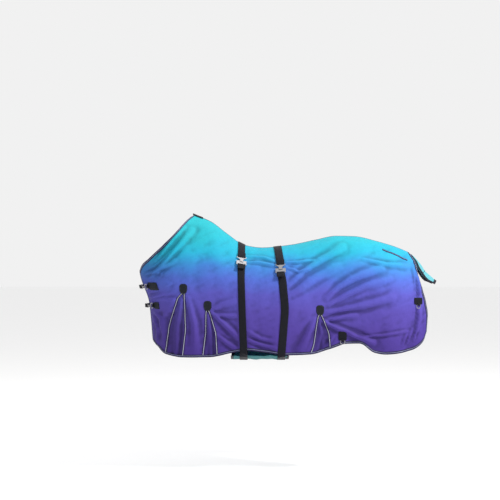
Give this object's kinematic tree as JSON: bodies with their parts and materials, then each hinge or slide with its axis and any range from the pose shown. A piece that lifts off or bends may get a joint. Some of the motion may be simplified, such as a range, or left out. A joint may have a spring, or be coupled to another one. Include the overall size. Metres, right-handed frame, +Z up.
{
  "type": "fly sheet",
  "caption": "Mesh fly sheet shaped to a horse's back and sides, with gussets, taped edges, surcingles hooked to a belly band, chest straps and a tail flap.",
  "frame": {"origin": "on the centre plane, at the inner face of the sheet at the low point of the back, where the horse carries it", "axes": "+X toward the tail, +Y toward the off (right) side, +Z up"},
  "size_m": [1.9302, 0.5926, 0.9443],
  "materials": {
    "mesh_cloth": "woven polyester mesh, dyed from teal at the back through blue to purple at the hem",
    "gusset_cloth": "woven polyester mesh, purple",
    "band_cloth": "woven polyester mesh, dark teal",
    "flap_cloth": "thin see-through mesh, teal",
    "edge_tape": "folded polyester tape with a silver reflective line",
    "patch_cloth": "coated polyester",
    "webbing": "black polypropylene webbing",
    "nickel": "nickel plate"
  },
  "bodies": {
    "sheet": {"front_surcingle": "webbing", "left_flank_gusset": "gusset_cloth", "left_flank_gusset_patch": "patch_cloth", "left_front_gusset": "gusset_cloth", "left_front_gusset_patch": "patch_cloth", "left_front_leg_patch": "patch_cloth", "left_girth_gusset": "gusset_cloth", "left_girth_gusset_patch": "patch_cloth", "left_hem_binding": "edge_tape", "left_lower_chest_patch": "patch_cloth", "left_neck_binding": "edge_tape", "left_rear_leg_patch": "patch_cloth", "left_rump_dart_tape": "edge_tape", "left_side_panel": "mesh_cloth", "left_upper_chest_patch": "patch_cloth", "lower_adjuster": "nickel", "lower_chest_strap": "webbing", "lower_snap_eye": "nickel", "rear_surcingle": "webbing", "right_flank_gusset": "gusset_cloth", "right_flank_gusset_patch": "patch_cloth", "right_front_gusset": "gusset_cloth", "right_front_gusset_patch": "patch_cloth", "right_front_leg_patch": "patch_cloth", "right_girth_gusset": "gusset_cloth", "right_girth_gusset_patch": "patch_cloth", "right_hem_binding": "edge_tape", "right_lower_chest_patch": "patch_cloth", "right_neck_binding": "edge_tape", "right_rear_leg_patch": "patch_cloth", "right_rump_dart_tape": "edge_tape", "right_side_panel": "mesh_cloth", "right_upper_chest_patch": "patch_cloth", "spine_binding": "edge_tape", "upper_adjuster": "nickel", "upper_chest_strap": "webbing", "upper_snap_eye": "nickel", "wither_patch": "patch_cloth"},
    "belly_band": {"belly_band": "band_cloth", "belly_band_front_binding": "edge_tape", "belly_band_rear_binding": "edge_tape", "front_girth_strap": "webbing", "rear_girth_strap": "webbing", "front_clip_plate": "nickel", "rear_clip_plate": "nickel"},
    "tail_flap": {"tail_flap": "flap_cloth", "tail_flap_binding": "edge_tape"},
    "front_hook": {"front_hook": "nickel"},
    "rear_hook": {"rear_hook": "nickel"},
    "upper_chest_ring": {"upper_chest_ring": "nickel"},
    "upper_snap_body": {"upper_snap_body": "nickel"},
    "upper_snap_bolt": {"upper_snap_bolt": "nickel"},
    "lower_chest_ring": {"lower_chest_ring": "nickel"},
    "lower_snap_body": {"lower_snap_body": "nickel"},
    "lower_snap_bolt": {"lower_snap_bolt": "nickel"},
    "left_front_leg_ring": {"left_front_leg_ring": "nickel"},
    "left_rear_leg_ring": {"left_rear_leg_ring": "nickel"},
    "right_front_leg_ring": {"right_front_leg_ring": "nickel"},
    "right_rear_leg_ring": {"right_rear_leg_ring": "nickel"}
  },
  "joints": [
    {"name": "belly_band_drop", "type": "hinge", "parent": "sheet", "child": "belly_band", "pos_m": [-0.015, 0.22514, -0.66], "axis": [1, 0, 0], "range_deg": [0, 60]},
    {"name": "tail_flap_lift", "type": "hinge", "parent": "sheet", "child": "tail_flap", "pos_m": [0.968, 0, -0.04], "axis": [0, -1, 0], "range_deg": [0, 60]},
    {"name": "front_hook_release", "type": "hinge", "parent": "sheet", "child": "front_hook", "pos_m": [-0.131, -0.18259, -0.05735], "axis": [-0.979, -0.1418, 0.1462], "range_deg": [0, 110]},
    {"name": "rear_hook_release", "type": "hinge", "parent": "sheet", "child": "rear_hook", "pos_m": [0.11498, -0.23569, -0.10226], "axis": [-0.9946, 0.0833, -0.0612], "range_deg": [0, 110]},
    {"name": "upper_chest_ring_swing", "type": "hinge", "parent": "sheet", "child": "upper_chest_ring", "pos_m": [-0.74115, -0.09442, -0.24877], "axis": [-0.2328, -0.156, 0.9599], "range_deg": [-4, 4]},
    {"name": "upper_snap_swivel", "type": "hinge", "parent": "sheet", "child": "upper_snap_body", "pos_m": [-0.77236, -0.04912, -0.24897], "axis": [-0.5863, 0.81, -0.0106], "range_deg": [-20, 20]},
    {"name": "upper_snap_bolt_slide", "type": "slide", "parent": "upper_snap_body", "child": "upper_snap_bolt", "axis": [-0.5863, 0.81, -0.0106], "range_m": [0, 0.008], "stiffness_N_per_m": 120, "springref_m": -0.004},
    {"name": "lower_chest_ring_swing", "type": "hinge", "parent": "sheet", "child": "lower_chest_ring", "pos_m": [-0.70561, -0.09541, -0.37054], "axis": [-0.0966, -0.0628, 0.9933], "range_deg": [-4, 4]},
    {"name": "lower_snap_swivel", "type": "hinge", "parent": "sheet", "child": "lower_snap_body", "pos_m": [-0.73538, -0.04915, -0.37051], "axis": [-0.5613, 0.8276, -0.0022], "range_deg": [-20, 20]},
    {"name": "lower_snap_bolt_slide", "type": "slide", "parent": "lower_snap_body", "child": "lower_snap_bolt", "axis": [-0.5613, 0.8276, -0.0022], "range_m": [0, 0.008], "stiffness_N_per_m": 120, "springref_m": -0.004},
    {"name": "left_front_leg_ring_swing", "type": "hinge", "parent": "sheet", "child": "left_front_leg_ring", "pos_m": [0.50688, -0.25533, -0.588], "axis": [-0.9999, 0.0153, 0], "range_deg": [0, 100]},
    {"name": "left_rear_leg_ring_swing", "type": "hinge", "parent": "sheet", "child": "left_rear_leg_ring", "pos_m": [0.99347, -0.20333, -0.36294], "axis": [-0.8983, -0.4394, 0.0099], "range_deg": [0, 100]},
    {"name": "right_front_leg_ring_swing", "type": "hinge", "parent": "sheet", "child": "right_front_leg_ring", "pos_m": [0.50688, 0.25533, -0.588], "axis": [0.9999, 0.0153, 0], "range_deg": [0, 100]},
    {"name": "right_rear_leg_ring_swing", "type": "hinge", "parent": "sheet", "child": "right_rear_leg_ring", "pos_m": [0.99347, 0.20333, -0.36294], "axis": [0.8983, -0.4394, -0.0099], "range_deg": [0, 100]}
  ]
}
